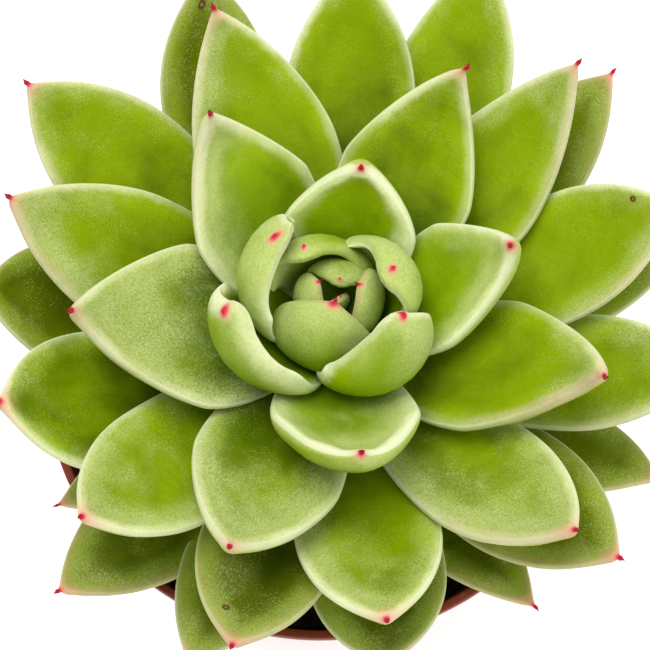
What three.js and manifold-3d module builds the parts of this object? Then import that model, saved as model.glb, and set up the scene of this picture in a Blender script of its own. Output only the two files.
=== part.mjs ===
// A potted rosette succulent: 48 thick leaves spiral up a short stem that stands in the soil of a
// round plastic nursery pot. Millimetres, +Z up, origin at the middle of the pot's underside.
// Azimuths are degrees about +Z from +X, anticlockwise seen from above.
import * as THREE from "three";
import { mergeVertices } from "three/addons/utils/BufferGeometryUtils.js";
import { ParametricGeometry } from "three/addons/geometries/ParametricGeometry.js";
import Module from "manifold-3d";

// Pot
const POT_HEIGHT = 92;
const RIM_RADIUS = 60;
const RIM_DEPTH = 2.5;
const RIM_STEP = 0.5;
const FOOT_RADIUS = 40;
const WALL = 1.4;
const FLOOR_TOP = 4;
const CHANNEL_INNER = 16;
const CHANNEL_OUTER = 36;
const CHANNEL_RISE = 2;
const EDGE_ROUND = 0.5;
const DRAIN_COUNT = 8;
const DRAIN_RADIUS = 4;
const POT_SIDES = 48;

// Soil
const SOIL_TOP = 82;
const SOIL_RELIEF = 0.9;
const SOIL_SIDES = 32;
const SOIL_RINGS = [0, 14, 24, 34, 43, 51];

// Stem: radius at each height
const STEM_X = 3;
const STEM_PROFILE = [
  [70.3, 7],
  [74, 8],
  [100, 8],
  [112, 7],
  [118, 5.2],
  [122, 3.2],
  [124, 1.8],
  [125, 0],
];
const STEM_SIDES = 16;

// Leaves: number 0 is the youngest, in the middle, and each one grows a step below the last
const CROWN_HEIGHT = 125;
const LEAF_STEP = 0.7;
const ROOT_SINK = 1;
const ROOT_MIN_RADIUS = 0.3;
const CLEARANCE = 0.3;
const LEAF_SIDES = 8;
const LEAF_STATIONS = [0, 0.14, 0.3, 0.46, 0.62, 0.77, 0.88, 0.95, 1];
const SPINE_LENGTH = 1.4;
const HOOD_END = 0.5;
const HOOK_POWER = 10;
const TOUCH_VOLUME = 0.002;

// Outline of a leaf: its width at the root and the tip, as shares of the greatest width
const ROOT_WIDTH_SHARE = 0.5;
const TIP_WIDTH_SHARE = 0.06;
const ROOT_SHOULDER = 1.25;

// Towards the tip the outline may taper, and at the spine it is pinched: shares of the width there
const TAPER_POWER = 4;
const PINCH = 0.5;
const PINCH_POWER = 12;

// Section of a leaf: thickest at a share of its length, thinner at the root and the tip, with a
// share of it above the middle surface, and never rounder than a share of its half width
const THICKEST = 0.4;
const ROOT_THINNING = 0.45;
const TIP_THICKNESS_SHARE = 0.3;
const BLUNT_THICKNESS_SHARE = 0.6;
const TIP_THINNING_POWER = 2.2;
const UPPER_SHARE = 0.3;
const MOST_THICKNESS_TO_HALF_WIDTH = 1.6;

// The section is an ellipse at the root and squarer, with full edges, towards the tip
const ROOT_ROUNDNESS = 0.9;
const TIP_ROUNDNESS = 0.55;
const KEEL_ROUNDNESS = 0.15;

// The blade is flatter across at the root, and has its full curl from here on
const ROOT_CURL_SHARE = 0.35;
const CURL_GAIN = 0.9;

// Towards the tip the curl eases by a share of itself, or tightens where that share is negative
const EASE_POWER = 6;

// What changes steadily with a leaf's number: [number, value] pairs with straight lines between
const GROWTH = {
  tipHeight: [[0, 132], [3, 136], [5, 140], [8, 144], [13, 146], [18, 144], [22, 141],
    [26, 137], [30, 131], [34, 122], [38, 113], [42, 107], [47, 103]],
  thickness: [[0, 2.5], [5, 5], [10, 6.5], [20, 7], [34, 7], [47, 6]],
  rootAngle: [[0, 85], [5, 50], [9, 35], [13, 22], [20, 12], [28, 7], [36, 4], [47, 3]],
  tipAngle: [[0, 95], [3, 130], [7, 140], [10, 120], [13, 85], [16, 72], [20, 62], [26, 52],
    [34, 38], [47, 20]],
  curl: [[0, 0.9], [5, 0.9], [9, 0.75], [13, 0.55], [18, 0.35], [30, 0.28], [47, 0.3]],
  widest: [[0, 0.5], [3, 0.6], [8, 0.6], [12, 0.55], [20, 0.58], [26, 0.6], [47, 0.58]],
  fullness: [[0, 1.8], [3, 2.6], [8, 2.6], [11, 1.7], [16, 1.6], [20, 2], [24, 2.3], [34, 2.2],
    [47, 1.7]],
  bluntness: [[0, 0.3], [3, 1], [8, 1], [12, 0.2], [20, 0], [47, 0]],
};

// What is each leaf's own: the azimuth it grows in, how far out its tip is, how far the tip sweeps
// to the left seen from the stem, and its width. A row may also set a value of GROWTH, or how
// strongly the root and the tip pull the leaf's arch along their directions. A hooded leaf bends
// inwards over the heart and ends round, without a spine.
const ROOT_PULL = 0.38;
const TIP_PULL = 0.34;
const LEAVES = [
  { azimuth: 301, reach: 0.5, sweep: 1, width: 6 },
  {
    azimuth: 78, reach: 1.5, sweep: -0.5, width: 14,
    fullness: 3.5, curl: 0.6, rootAngle: 30, tipAngle: 185, rootPull: 0.9, tipPull: 0.8,
    hooded: true,
  },
  {
    azimuth: 200, reach: 2, sweep: -3, width: 13,
    rootAngle: 40, tipAngle: 140, rootPull: 0.7, tipPull: 0.6,
  },
  {
    azimuth: 345, reach: 4, sweep: 2, width: 15,
    rootAngle: 45, tipAngle: 140, rootPull: 0.65, tipPull: 0.55,
  },
  {
    azimuth: 103, reach: 6, sweep: 5, width: 25,
    tipHeight: 138, fullness: 3.5, curl: 1.4, ease: 0.6, rootAngle: 0, tipAngle: 180,
    rootPull: 0.7, tipPull: 0.4, hooded: true,
  },
  {
    azimuth: 247, reach: 3.4, sweep: 1.5, width: 23,
    tipHeight: 138.5, rootAngle: 10, tipAngle: 150, rootPull: 0.7, tipPull: 0.7,
  },
  {
    azimuth: 28, reach: 7.5, sweep: -5, width: 26,
    fullness: 3.2, curl: 1.35, ease: 0.5, rootAngle: 20, tipAngle: 180, rootPull: 0.7,
    tipPull: 0.4, hooded: true,
  },
  {
    azimuth: 169, reach: 9.8, sweep: -3.5, hook: -4, width: 26,
    fullness: 3, curl: 1.05, ease: 0.5, rootAngle: 20, tipAngle: 170, rootPull: 0.6,
    tipPull: 0.5, hooded: true,
  },
  {
    azimuth: 299, reach: 12.8, sweep: 5, width: 27,
    curl: 1.15, ease: 0.3, rootAngle: 26, tipAngle: 140, rootPull: 0.7, tipPull: 0.55,
    hooded: true,
  },
  {
    azimuth: 80, reach: 22.7, sweep: -1.2, width: 28.5,
    tipAngle: 104, widest: 0.5, fullness: 1.6, taper: 0.3,
  },
  {
    azimuth: 217, reach: 18.5, sweep: -4, width: 29,
    curl: 1, ease: 0.3, rootAngle: 18, tipAngle: 138, fullness: 2.4, rootPull: 0.5,
    tipPull: 0.42, hooded: true,
  },
  {
    azimuth: 5, reach: 34, sweep: 6, hook: -4, width: 27.5,
    tipAngle: 100, widest: 0.5, fullness: 1.25, taper: 0.4,
  },
  {
    azimuth: 132.5, reach: 41.5, sweep: -6.5, hook: 2, width: 30,
    widest: 0.5, fullness: 1.3, taper: 0.4,
  },
  {
    azimuth: 272, reach: 37, sweep: 3.5, width: 31,
    tipAngle: 90, widest: 0.6, fullness: 1.5, curl: 0.85, ease: -0.9,
  },
  {
    azimuth: 60.5, reach: 51.5, sweep: 2.5, hook: -4, width: 30,
    widest: 0.5, fullness: 1.35, taper: 0.35,
  },
  {
    azimuth: 188, reach: 51, sweep: -1.5, hook: 3, width: 36.5,
    widest: 0.44, fullness: 1.35, taper: 0.45,
  },
  {
    azimuth: 335, reach: 55, sweep: 7.5, hook: -6, width: 30.5,
    widest: 0.5, fullness: 1.35, taper: 0.3,
  },
  { azimuth: 112, reach: 64, sweep: -1, hook: 2, width: 31, widest: 0.5 },
  {
    azimuth: 246.5, reach: 57.5, sweep: 4, width: 31,
    widest: 0.52, fullness: 1.55, taper: 0.3,
  },
  {
    azimuth: 40, reach: 68, sweep: 6.5, hook: -2.5, width: 27.5,
    widest: 0.52, fullness: 1.6,
  },
  {
    azimuth: 164, reach: 66.5, sweep: 0.5, hook: 1, width: 31,
    widest: 0.54, fullness: 1.8,
  },
  { azimuth: 308.5, reach: 67, sweep: 3, width: 27 },
  { azimuth: 86, reach: 72.5, sweep: 0.5, hook: 0.5, width: 28.5 },
  { azimuth: 224, reach: 67, sweep: 1.5, width: 28.5 },
  { azimuth: 15, reach: 70, sweep: 1, hook: -2.5, width: 28 },
  { azimuth: 142, reach: 77.5, sweep: 1.5, hook: 2, width: 30.5 },
  { azimuth: 278, reach: 67, sweep: 0, width: 29 },
  { azimuth: 64, reach: 84, sweep: 3, hook: 3, width: 27 },
  { azimuth: 200, reach: 69, sweep: 2, hook: -3, width: 31.5, fullness: 3.2 },
  { azimuth: 348, reach: 75, sweep: 0.5, width: 26 },
  { azimuth: 121, reach: 80, sweep: -12.5, hook: -2.5, width: 27, fullness: 3 },
  { azimuth: 254, reach: 72, sweep: 0.5, width: 28 },
  { azimuth: 41, reach: 80.5, sweep: 2, width: 25 },
  { azimuth: 179, reach: 73, sweep: -8, hook: 4.5, width: 30, fullness: 2.8 },
  { azimuth: 317, reach: 75, sweep: 0.5, width: 29 },
  { azimuth: 87, reach: 74, sweep: 0, width: 25 },
  { azimuth: 228, reach: 77, sweep: -6, width: 26, tipHeight: 105 },
  { azimuth: 17, reach: 78.5, sweep: -1.5, width: 24 },
  { azimuth: 143, reach: 73, sweep: 0, width: 24 },
  { azimuth: 280, reach: 70.5, sweep: -0.5, hook: -2, width: 29, fullness: 3 },
  { azimuth: 60, reach: 72, sweep: 0, width: 23 },
  { azimuth: 208, reach: 67, sweep: 3, width: 17, tipHeight: 101 },
  { azimuth: 331, reach: 73.5, sweep: 8.5, hook: -3, width: 23, tipHeight: 108 },
  { azimuth: 117, reach: 70, sweep: 0, width: 22 },
  { azimuth: 249, reach: 74, sweep: -3, width: 25, fullness: 2.2 },
  { azimuth: 34, reach: 62, sweep: 0, width: 21 },
  { azimuth: 173, reach: 68.5, sweep: 0, width: 20 },
  { azimuth: 301, reach: 69, sweep: 6, width: 21, tipHeight: 103 },
];

const POT_MATERIAL = dullMaterial(0x8e3a26, 0.5);
const SOIL_MATERIAL = dullMaterial(0x1c1512, 0.95);
const STEM_MATERIAL = dullMaterial(0x8d9460, 0.7);
const LEAF_ROUGHNESS = 0.55;
const YOUNG_LEAF = new THREE.Color(0x9fb463);
const OLD_LEAF = new THREE.Color(0x5f7d2c);

const UP = new THREE.Vector3(0, 0, 1);

const wasm = await Module();
wasm.setup();

function dullMaterial(color, roughness) {
  return new THREE.MeshStandardMaterial({ color, roughness, metalness: 0 });
}

// The value at x on a line through [x, value] pairs.
function along(pairs, x) {
  const after = pairs.findIndex(([at]) => at >= x);
  if (after < 0) return pairs[pairs.length - 1][1];
  if (after === 0) return pairs[0][1];
  const [x0, y0] = pairs[after - 1];
  const [x1, y1] = pairs[after];
  return THREE.MathUtils.mapLinear(x, x0, x1, y0, y1);
}

// A geometry as a manifold-3d solid, without its seams and the faces that closed to nothing.
function solidOf(geometry) {
  const bare = geometry.clone();
  bare.deleteAttribute("normal");
  bare.deleteAttribute("uv");
  const merged = mergeVertices(bare, 1e-4);
  const corners = merged.index.array;
  const kept = [];
  for (let i = 0; i < corners.length; i += 3) {
    const [a, b, c] = corners.subarray(i, i + 3);
    if (a !== b && b !== c && c !== a) kept.push(a, b, c);
  }
  const vertProperties = new Float32Array(merged.attributes.position.array);
  const triVerts = new Uint32Array(kept);
  return new wasm.Manifold(new wasm.Mesh({ numProp: 3, vertProperties, triVerts }));
}

// A solid's largest piece as a named mesh.
function meshOf(name, solid, material) {
  const [largest] = solid.decompose().sort((a, b) => b.volume() - a.volume());
  const { vertProperties, triVerts } = largest.getMesh();
  const geometry = new THREE.BufferGeometry();
  geometry.setAttribute("position", new THREE.BufferAttribute(vertProperties, 3));
  geometry.setIndex(new THREE.BufferAttribute(triVerts, 1));
  geometry.computeVertexNormals();
  const mesh = new THREE.Mesh(geometry, material);
  mesh.name = name;
  return mesh;
}

// ---- Pot ----

// Outer radius of the pot's wall below the rim, at a height.
function potRadius(height) {
  const top = RIM_RADIUS - RIM_STEP;
  return THREE.MathUtils.mapLinear(height, 0, POT_HEIGHT, FOOT_RADIUS, top);
}

function potSolid() {
  const innerTop = potRadius(POT_HEIGHT) - WALL;
  const profile = [
    [0, 0],
    [CHANNEL_INNER, 0],
    [CHANNEL_INNER, CHANNEL_RISE],
    [CHANNEL_OUTER, CHANNEL_RISE],
    [CHANNEL_OUTER, 0],
    [FOOT_RADIUS - EDGE_ROUND, 0],
    [potRadius(EDGE_ROUND), EDGE_ROUND],
    [potRadius(POT_HEIGHT - RIM_DEPTH), POT_HEIGHT - RIM_DEPTH],
    [RIM_RADIUS - EDGE_ROUND, POT_HEIGHT - RIM_DEPTH],
    [RIM_RADIUS, POT_HEIGHT - RIM_DEPTH + EDGE_ROUND],
    [RIM_RADIUS, POT_HEIGHT - EDGE_ROUND],
    [RIM_RADIUS - EDGE_ROUND, POT_HEIGHT],
    [innerTop + EDGE_ROUND, POT_HEIGHT],
    [innerTop, POT_HEIGHT - EDGE_ROUND],
    [potRadius(FLOOR_TOP) - WALL, FLOOR_TOP],
    [0, FLOOR_TOP],
  ].map(([radius, height]) => new THREE.Vector2(radius, height));
  const lathe = new THREE.LatheGeometry(profile, POT_SIDES);
  lathe.rotateX(Math.PI / 2);
  let pot = solidOf(lathe);
  for (let i = 0; i < DRAIN_COUNT; i++) {
    const drain = new THREE.CylinderGeometry(DRAIN_RADIUS, DRAIN_RADIUS, 4 * FLOOR_TOP, 12);
    drain.rotateX(Math.PI / 2);
    drain.translate((CHANNEL_INNER + CHANNEL_OUTER) / 2, 0, 0);
    drain.rotateZ((i * 2 * Math.PI) / DRAIN_COUNT);
    pot = pot.subtract(solidOf(drain));
  }
  return pot;
}

// ---- Stem ----

// The stem, grown all over by a margin.
function stemSolid(margin) {
  const [bottom] = STEM_PROFILE[0];
  const [top] = STEM_PROFILE[STEM_PROFILE.length - 1];
  const profile = [
    new THREE.Vector2(0, bottom - margin),
    ...STEM_PROFILE.slice(0, -1).map(([z, radius], i) => {
      return new THREE.Vector2(radius + margin, i ? z : z - margin);
    }),
    new THREE.Vector2(0, top + margin),
  ];
  const lathe = new THREE.LatheGeometry(profile, STEM_SIDES);
  lathe.rotateX(Math.PI / 2);
  lathe.translate(STEM_X, 0, 0);
  return solidOf(lathe);
}

// ---- Soil ----

// Height of the loose surface over its mean level.
function soilRelief(x, y) {
  const waves = Math.sin(x / 4.1 + 1) * Math.cos(y / 5.3) + Math.sin((x + y) / 7.7);
  return (SOIL_RELIEF * waves) / 2;
}

function soilSolid() {
  const innerRadius = (height) => potRadius(height) - WALL - CLEARANCE;
  const bottom = FLOOR_TOP + CLEARANCE;
  const surface = SOIL_RINGS.slice().reverse().map((radius) => new THREE.Vector2(radius, SOIL_TOP));
  const profile = [
    new THREE.Vector2(0, bottom),
    new THREE.Vector2(innerRadius(bottom), bottom),
    new THREE.Vector2(innerRadius(SOIL_TOP - SOIL_RELIEF), SOIL_TOP - SOIL_RELIEF),
    ...surface,
  ];
  const lathe = new THREE.LatheGeometry(profile, SOIL_SIDES);
  lathe.rotateX(Math.PI / 2);
  const { position } = lathe.attributes;
  for (let i = 0; i < position.count; i++) {
    if (position.getZ(i) < SOIL_TOP - SOIL_RELIEF / 2) continue;
    const lift = soilRelief(position.getX(i), position.getY(i));
    position.setZ(i, SOIL_TOP + lift);
  }
  return solidOf(lathe).subtract(stemSolid(CLEARANCE));
}

// ---- Leaves ----

// A leaf's own row, filled up with what follows from its number.
function leafPlan(row, number) {
  const plan = {
    rootPull: ROOT_PULL, tipPull: TIP_PULL, hook: 0, pinch: PINCH, taper: 0, ease: 0,
    hooded: false,
  };
  for (const [quantity, pairs] of Object.entries(GROWTH)) plan[quantity] = along(pairs, number);
  Object.assign(plan, row);
  const rootHeight = CROWN_HEIGHT - LEAF_STEP * number;
  const rootRadius = Math.max(along(STEM_PROFILE, rootHeight) - ROOT_SINK, ROOT_MIN_RADIUS);
  plan.arch = leafArch(plan, rootRadius, rootHeight);
  return plan;
}

// The leaf's middle line in the upright plane it grows in: x is outward, y is up.
function leafArch(plan, rootRadius, rootHeight) {
  const root = new THREE.Vector2(rootRadius, rootHeight);
  const tip = new THREE.Vector2(plan.reach, plan.tipHeight);
  const chord = root.distanceTo(tip);
  const pulled = (angle, share) => {
    const turn = THREE.MathUtils.degToRad(angle);
    return new THREE.Vector2(Math.cos(turn), Math.sin(turn)).multiplyScalar(share * chord);
  };
  const afterRoot = root.clone().add(pulled(plan.rootAngle, plan.rootPull));
  const beforeTip = tip.clone().sub(pulled(plan.tipAngle, plan.tipPull));
  return new THREE.CubicBezierCurve(root, afterRoot, beforeTip, tip);
}

// How far the middle line lies to the left, at a share of the length.
function leafSweep(plan, s) {
  return plan.sweep * s ** 2 + plan.hook * s ** HOOK_POWER;
}

// Width at a share of the length, as a share of the greatest width.
function widthShare(plan, s) {
  if (s < plan.widest) {
    const rise = Math.sin(((Math.PI / 2) * s) / plan.widest) ** ROOT_SHOULDER;
    return THREE.MathUtils.lerp(ROOT_WIDTH_SHARE, 1, rise);
  }
  const toTip = (s - plan.widest) / (1 - plan.widest);
  const tapered = 1 - plan.taper * toTip ** TAPER_POWER;
  const pinched = 1 - plan.pinch * toTip ** PINCH_POWER;
  return Math.max((1 - toTip ** plan.fullness) * tapered * pinched, TIP_WIDTH_SHARE);
}

// Thickness at a share of the length, as a share of the greatest thickness.
function thicknessShare(plan, s) {
  if (s < THICKEST) return 1 - ROOT_THINNING * (1 - s / THICKEST) ** 2;
  const tip = THREE.MathUtils.lerp(TIP_THICKNESS_SHARE, BLUNT_THICKNESS_SHARE, plan.bluntness);
  return 1 - (1 - tip) * ((s - THICKEST) / (1 - THICKEST)) ** TIP_THINNING_POWER;
}

// A point of the leaf's skin, at a share of its length and an angle round it, with a margin added.
function leafSkin(plan, s, angle, margin, target) {
  const halfWidth = (plan.width / 2) * widthShare(plan, s);
  const most = MOST_THICKNESS_TO_HALF_WIDTH * halfWidth;
  const thickness = Math.min(plan.thickness * thicknessShare(plan, s), most);
  const roundness = THREE.MathUtils.lerp(ROOT_ROUNDNESS, TIP_ROUNDNESS, s);
  const rise = Math.sin(angle);
  const across = (halfWidth + margin) * Math.cos(angle);
  const bulge = rise > 0
    ? UPPER_SHARE * thickness * rise ** roundness
    : -(1 - UPPER_SHARE) * thickness * (-rise) ** (roundness + KEEL_ROUNDNESS);
  const height = bulge + margin * rise;
  // The blade curls up on both sides round a circle.
  const eased = 1 - plan.ease * s ** EASE_POWER;
  const curl = plan.curl * Math.min(1, ROOT_CURL_SHARE + CURL_GAIN * s) * eased;
  const bend = plan.width / 2 / curl;
  const sideways = (bend - height) * Math.sin(across / bend);
  const upward = bend - (bend - height) * Math.cos(across / bend);
  const middle = plan.arch.getPointAt(s);
  const forward = plan.arch.getTangentAt(s);
  const out = middle.x - forward.y * upward;
  const up = middle.y + forward.x * upward;
  const left = leafSweep(plan, s) + sideways;
  const turn = THREE.MathUtils.degToRad(plan.azimuth);
  target.set(out, left, up).applyAxisAngle(UP, turn);
  target.x += STEM_X;
}

// A point on the leaf's middle line, or past its tip by a length.
function leafMiddle(plan, s, beyond, target) {
  const middle = plan.arch.getPointAt(s);
  const forward = plan.arch.getTangentAt(s);
  const turn = THREE.MathUtils.degToRad(plan.azimuth);
  const out = middle.x + forward.x * beyond;
  const up = middle.y + forward.y * beyond;
  target.set(out, leafSweep(plan, s), up).applyAxisAngle(UP, turn);
  target.x += STEM_X;
}

// A leaf closed at the root and drawn out to a short spine at the tip, with a margin all over.
function leafSolid(plan, margin) {
  const rows = LEAF_STATIONS.length + 1;
  const end = plan.hooded ? HOOD_END : SPINE_LENGTH;
  const skin = new ParametricGeometry((u, v, target) => {
    const row = Math.round(v * rows);
    if (row === 0) leafMiddle(plan, 0, 0, target);
    else if (row === rows) leafMiddle(plan, 1, end + margin, target);
    else leafSkin(plan, LEAF_STATIONS[row - 1], 2 * Math.PI * u, margin, target);
  }, LEAF_SIDES, rows);
  return solidOf(skin);
}

// Each leaf is cut back where a younger one lies on it, and at the stem that it clasps.
function leafMeshes() {
  const plans = LEAVES.map(leafPlan);
  const stem = stemSolid(CLEARANCE);
  const grown = plans.map((plan) => leafSolid(plan, CLEARANCE));
  const placed = [];
  return plans.map((plan, number) => {
    let leaf = leafSolid(plan, 0).subtract(stem);
    placed.forEach((younger, i) => {
      if (leaf.intersect(younger).volume() > TOUCH_VOLUME) leaf = leaf.subtract(grown[i]);
    });
    placed.push(leaf);
    const age = number / (LEAVES.length - 1);
    const color = new THREE.Color().lerpColors(YOUNG_LEAF, OLD_LEAF, age);
    const material = dullMaterial(color, LEAF_ROUGHNESS);
    return meshOf(`leaf_${String(number).padStart(2, "0")}`, leaf, material);
  });
}

const succulent = new THREE.Group();
succulent.add(meshOf("pot", potSolid(), POT_MATERIAL));
succulent.add(meshOf("soil", soilSolid(), SOIL_MATERIAL));
succulent.add(meshOf("stem", stemSolid(0), STEM_MATERIAL));
succulent.add(...leafMeshes());

export default succulent;
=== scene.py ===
# Looks of a potted rosette succulent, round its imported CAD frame. The sizes below are millimetres,
# as in the CAD source, and meshes are made in metres. Leaf 0 is the youngest, in the middle.
# Angles are degrees; a leaf's azimuth is about +Z from +X, anticlockwise seen from above.
import math
from types import SimpleNamespace

import bmesh
import bpy
import numpy as np
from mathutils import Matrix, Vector


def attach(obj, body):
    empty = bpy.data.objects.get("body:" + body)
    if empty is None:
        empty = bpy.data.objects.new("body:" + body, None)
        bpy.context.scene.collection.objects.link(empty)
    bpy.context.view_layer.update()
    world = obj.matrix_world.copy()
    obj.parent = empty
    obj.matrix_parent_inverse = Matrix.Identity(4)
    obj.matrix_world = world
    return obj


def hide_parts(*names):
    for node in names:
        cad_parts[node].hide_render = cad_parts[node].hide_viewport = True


MM = 0.001
SEED = 20
NEARLY_ZERO = 1e-6

# ---- Stem and leaves: the same sizes as the CAD solids ----

STEM_X = 3
STEM_PROFILE = [
    (70.3, 7), (74, 8), (100, 8), (112, 7), (118, 5.2), (122, 3.2), (124, 1.8), (125, 0),
]
CROWN_HEIGHT = 125
LEAF_STEP = 0.7
ROOT_SINK = 1
ROOT_MIN_RADIUS = 0.3
SPINE_LENGTH = 1.4

# Middle line: how strongly the root and the tip pull its arch, and how late the tip hooks aside
ROOT_PULL = 0.38
TIP_PULL = 0.34
HOOK_POWER = 10

# Outline
ROOT_WIDTH_SHARE = 0.5
ROOT_SHOULDER = 1.25
TAPER_POWER = 4
PINCH = 0.5
PINCH_POWER = 12

# Section
THICKEST = 0.4
ROOT_THINNING = 0.45
TIP_THICKNESS_SHARE = 0.3
BLUNT_THICKNESS_SHARE = 0.6
TIP_THINNING_POWER = 2.2
UPPER_SHARE = 0.3
MOST_THICKNESS_TO_HALF_WIDTH = 1.6
ROOT_ROUNDNESS = 0.9
KEEL_ROUNDNESS = 0.15

# Curl of the section, and where it eases
ROOT_CURL_SHARE = 0.35
CURL_GAIN = 0.9
EASE_POWER = 6

# What changes steadily with a leaf's number: (number, value) pairs with straight lines between.
# The quantities are named as in the CAD source.
GROWTH = {
    "tipHeight": [
        (0, 132), (3, 136), (5, 140), (8, 144), (13, 146), (18, 144), (22, 141), (26, 137),
        (30, 131), (34, 122), (38, 113), (42, 107), (47, 103),
    ],
    "thickness": [(0, 2.5), (5, 5), (10, 6.5), (20, 7), (34, 7), (47, 6)],
    "rootAngle": [(0, 85), (5, 50), (9, 35), (13, 22), (20, 12), (28, 7), (36, 4), (47, 3)],
    "tipAngle": [
        (0, 95), (3, 130), (7, 140), (10, 120), (13, 85), (16, 72), (20, 62), (26, 52),
        (34, 38), (47, 20),
    ],
    "curl": [(0, 0.9), (5, 0.9), (9, 0.75), (13, 0.55), (18, 0.35), (30, 0.28), (47, 0.3)],
    "widest": [
        (0, 0.5), (3, 0.6), (8, 0.6), (12, 0.55), (20, 0.58), (26, 0.6), (47, 0.58),
    ],
    "fullness": [
        (0, 1.8), (3, 2.6), (8, 2.6), (11, 1.7), (16, 1.6), (20, 2), (24, 2.3), (34, 2.2),
        (47, 1.7),
    ],
    "bluntness": [(0, 0.3), (3, 1), (8, 1), (12, 0.2), (20, 0), (47, 0)],
}

# Each leaf's own azimuth, reach, sweep and width, then what it has in place of the usual values.
LEAVES = [
    (301, 0.5, 1, 6, {}),
    (78, 1.5, -0.5, 14, dict(fullness=3.5, curl=0.6, rootAngle=30, tipAngle=185,
                             rootPull=0.9, tipPull=0.8)),
    (200, 2, -3, 13, dict(rootAngle=40, tipAngle=140, rootPull=0.7, tipPull=0.6)),
    (345, 4, 2, 15, dict(rootAngle=45, tipAngle=140, rootPull=0.65, tipPull=0.55)),
    (103, 6, 5, 25, dict(tipHeight=138, fullness=3.5, curl=1.4, ease=0.6, rootAngle=0,
                         tipAngle=180, rootPull=0.7, tipPull=0.4)),
    (247, 3.4, 1.5, 23, dict(tipHeight=138.5, rootAngle=10, tipAngle=150, rootPull=0.7,
                             tipPull=0.7)),
    (28, 7.5, -5, 26, dict(fullness=3.2, curl=1.35, ease=0.5, rootAngle=20, tipAngle=180,
                           rootPull=0.7, tipPull=0.4)),
    (169, 9.8, -3.5, 26, dict(hook=-4, fullness=3, curl=1.05, ease=0.5, rootAngle=20,
                              tipAngle=170, rootPull=0.6, tipPull=0.5)),
    (299, 12.8, 5, 27, dict(curl=1.15, ease=0.3, rootAngle=26, tipAngle=140, rootPull=0.7,
                            tipPull=0.55)),
    (80, 22.7, -1.2, 28.5, dict(tipAngle=104, widest=0.5, fullness=1.6, taper=0.3)),
    (217, 18.5, -4, 29, dict(curl=1, ease=0.3, rootAngle=18, tipAngle=138, fullness=2.4,
                             rootPull=0.5, tipPull=0.42)),
    (5, 34, 6, 27.5, dict(hook=-4, tipAngle=100, widest=0.5, fullness=1.25, taper=0.4)),
    (132.5, 41.5, -6.5, 30, dict(hook=2, widest=0.5, fullness=1.3, taper=0.4)),
    (272, 37, 3.5, 31, dict(tipAngle=90, widest=0.6, fullness=1.5, curl=0.85, ease=-0.9)),
    (60.5, 51.5, 2.5, 30, dict(hook=-4, widest=0.5, fullness=1.35, taper=0.35)),
    (188, 51, -1.5, 36.5, dict(hook=3, widest=0.44, fullness=1.35, taper=0.45)),
    (335, 55, 7.5, 30.5, dict(hook=-6, widest=0.5, fullness=1.35, taper=0.3)),
    (112, 64, -1, 31, dict(hook=2, widest=0.5)),
    (246.5, 57.5, 4, 31, dict(widest=0.52, fullness=1.55, taper=0.3)),
    (40, 68, 6.5, 27.5, dict(hook=-2.5, widest=0.52, fullness=1.6)),
    (164, 66.5, 0.5, 31, dict(hook=1, widest=0.54, fullness=1.8)),
    (308.5, 67, 3, 27, {}),
    (86, 72.5, 0.5, 28.5, dict(hook=0.5)),
    (224, 67, 1.5, 28.5, {}),
    (15, 70, 1, 28, dict(hook=-2.5)),
    (142, 77.5, 1.5, 30.5, dict(hook=2)),
    (278, 67, 0, 29, {}),
    (64, 84, 3, 27, dict(hook=3)),
    (200, 69, 2, 31.5, dict(hook=-3, fullness=3.2)),
    (348, 75, 0.5, 26, {}),
    (121, 80, -12.5, 27, dict(hook=-2.5, fullness=3)),
    (254, 72, 0.5, 28, {}),
    (41, 80.5, 2, 25, {}),
    (179, 73, -8, 30, dict(hook=4.5, fullness=2.8)),
    (317, 75, 0.5, 29, {}),
    (87, 74, 0, 25, {}),
    (228, 77, -6, 26, dict(tipHeight=105)),
    (17, 78.5, -1.5, 24, {}),
    (143, 73, 0, 24, {}),
    (280, 70.5, -0.5, 29, dict(hook=-2, fullness=3)),
    (60, 72, 0, 23, {}),
    (208, 67, 3, 17, dict(tipHeight=101)),
    (331, 73.5, 8.5, 23, dict(hook=-3, tipHeight=108)),
    (117, 70, 0, 22, {}),
    (249, 74, -3, 25, dict(fullness=2.2)),
    (34, 62, 0, 21, {}),
    (173, 68.5, 0, 20, {}),
    (301, 69, 6, 21, dict(tipHeight=103)),
]

# ---- Finer form of a leaf ----

# Grid of the blade: stations crowd towards the tip, and points round it towards the margins
LEAF_STATIONS = 72
LEAF_SIDES = 64
SPINE_STATIONS = 9
ARCH_STEPS = 600
TIP_CROWDING = 1.5
EDGE_CROWDING = 0.7

# Rounder, slimmer edges than the solids have, and slim spines that lean out where they point up
TIP_ROUNDNESS = 0.75
SPINE_WIDTH_SHARE = 0.036
SPINE_SLIMNESS = 1.7
SPINE_LEAN = 0.5
LEAN_FROM = 0.8

# A bead along the margin of wide enough stretches, a shallow dish inside it and gentle waves
BEAD_HEIGHT = 0.22
BEAD_INSET = 1.7
BEAD_REACH = 1.2
BEAD_HALF_WIDTHS = (2, 7)
BEAD_START = 0.2
DISH_DEPTH = 0.25
DISH_REACH_SHARE = 0.7
WAVE_HEIGHT = 0.16
WAVE_LENGTH = 13
WAVE_LENGTH_SPREAD = (0.7, 1.6)
WAVE_COUNT = 5
WAVE_EDGE_GAP = 1.5
WAVE_TIP_GAP = 6
WAVE_HALF_WIDTHS = (1, 4)

# Leaves whose end bends inwards bear the spine on their outer face: its share of the length, how
# far it is to the left of the middle line.
HOODED = {
    1: (0.93, 0), 4: (0.93, 0), 6: (0.93, 0), 7: (0.93, 0), 8: (0.98, 2), 10: (0.93, -2.5),
}

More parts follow.
